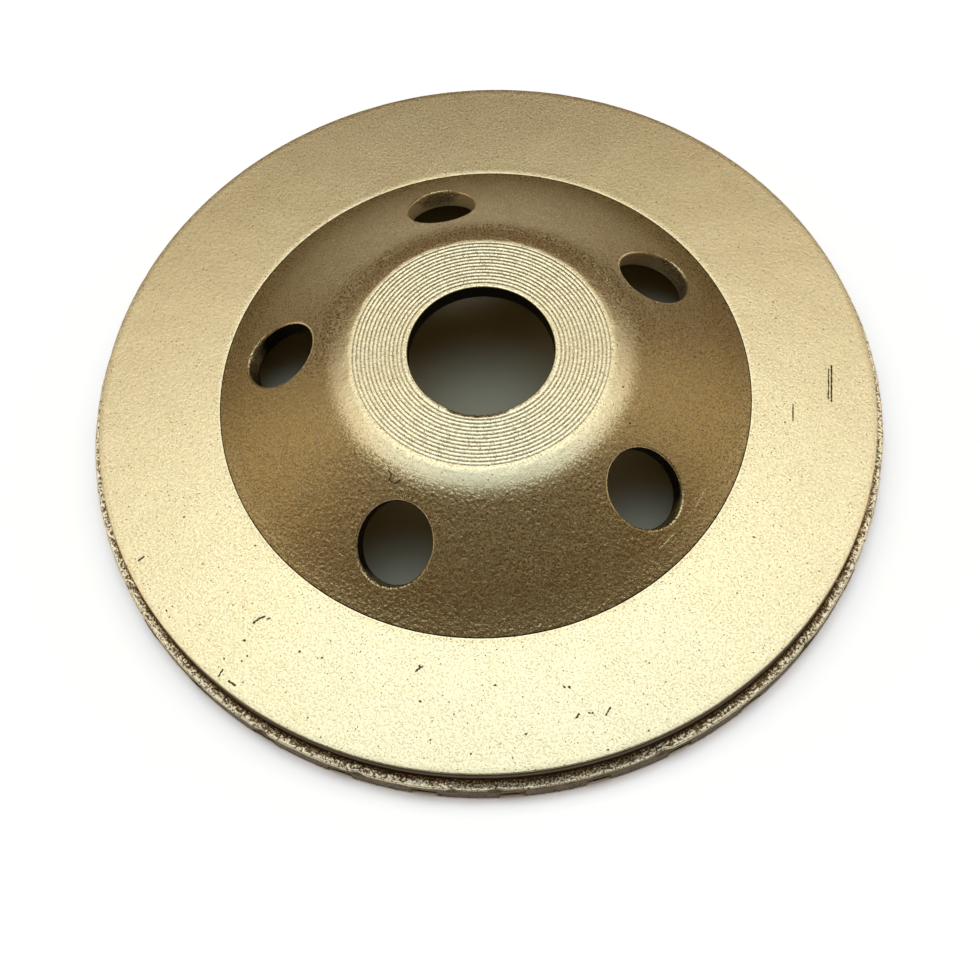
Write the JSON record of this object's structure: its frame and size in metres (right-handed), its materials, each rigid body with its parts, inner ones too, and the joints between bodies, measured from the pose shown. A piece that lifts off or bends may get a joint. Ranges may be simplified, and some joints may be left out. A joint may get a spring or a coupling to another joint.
{
  "type": "diamond cup wheel",
  "caption": "Shallow domed steel cup wheel with a central bore, vent holes, a flat flange and a slotted sintered abrasive ring on its working face.",
  "frame": {"origin": "centre of the wheel on the plane of its working face", "axes": "+Z along the arbor axis, from the working face towards the hub; +X through the centre of one vent hole"},
  "size_m": [0.1268, 0.1268, 0.0174],
  "materials": {
    "gold_metallic_paint": "satin metallic gold spray over pressed steel",
    "sintered_abrasive": "rough sintered metal and diamond grit with overspray"
  },
  "bodies": {
    "root": {"steel_cup": "gold_metallic_paint", "abrasive_ring": "sintered_abrasive"}
  },
  "joints": []
}
